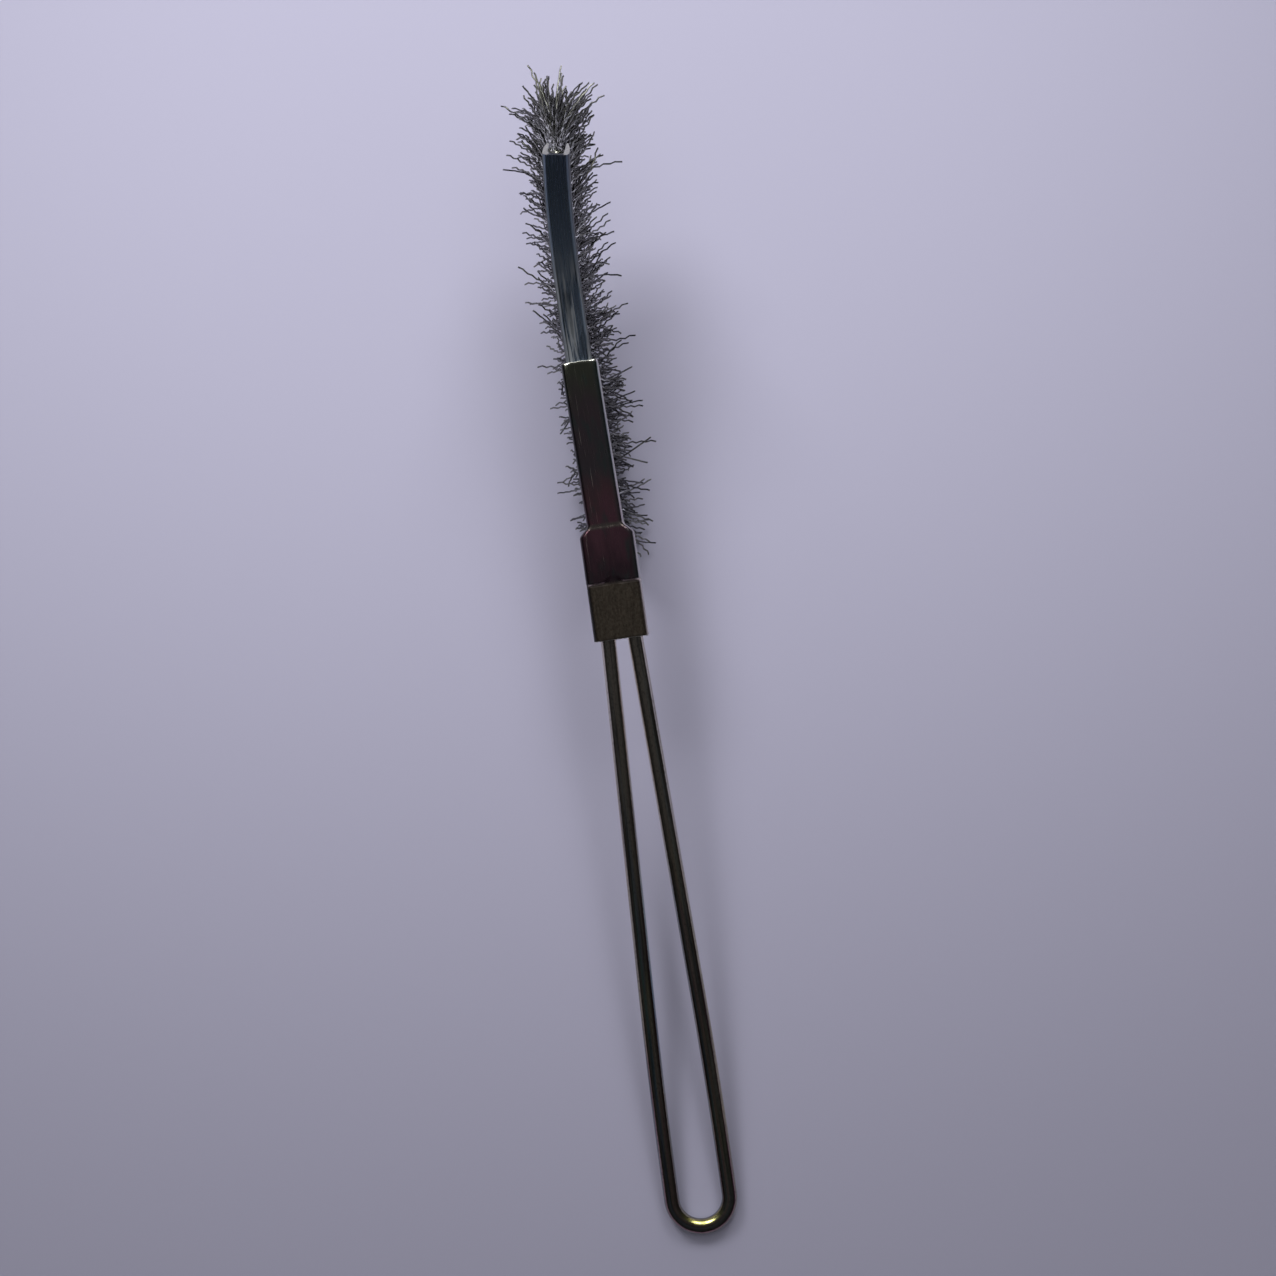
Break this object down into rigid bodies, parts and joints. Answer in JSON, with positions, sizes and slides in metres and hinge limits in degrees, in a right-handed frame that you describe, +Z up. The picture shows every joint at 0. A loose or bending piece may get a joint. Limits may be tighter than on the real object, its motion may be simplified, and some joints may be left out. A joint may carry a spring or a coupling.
{
  "type": "narrow wire brush",
  "caption": "Narrow curved wire brush: a strip of crimped steel bristles in a folded ferrule on a hairpin wire handle.",
  "frame": {"origin": "on the surface that the brush lies on, under the middle of its bounding box, with its back up", "axes": "+Y runs from the handle's loop to the brush tip, +Z is up, away from the surface, and +X is to the right seen from above; the brush is the same on both sides of X = 0"},
  "size_m": [0.0194, 0.2254, 0.0544],
  "materials": {
    "handle_wire": "bright drawn wire with yellow passivated zinc plating",
    "ferrule": "folded sheet steel with yellow passivated zinc plating",
    "strip_channel": "bright zinc plated strip, lengthwise drawing marks",
    "core_wire": "plain drawn wire",
    "bristles": "crimped hard drawn steel wire"
  },
  "bodies": {
    "root": {"handle_wire": "handle_wire", "ferrule": "ferrule", "strip_channel": "strip_channel", "core_wire": "core_wire", "bristles_01": "bristles", "bristles_02": "bristles", "bristles_03": "bristles", "bristles_04": "bristles", "bristles_05": "bristles", "bristles_06": "bristles", "bristles_07": "bristles", "bristles_08": "bristles", "bristles_09": "bristles", "bristles_10": "bristles", "bristles_11": "bristles", "bristles_12": "bristles", "bristles_13": "bristles", "bristles_14": "bristles", "bristles_15": "bristles", "bristles_16": "bristles"}
  },
  "joints": []
}
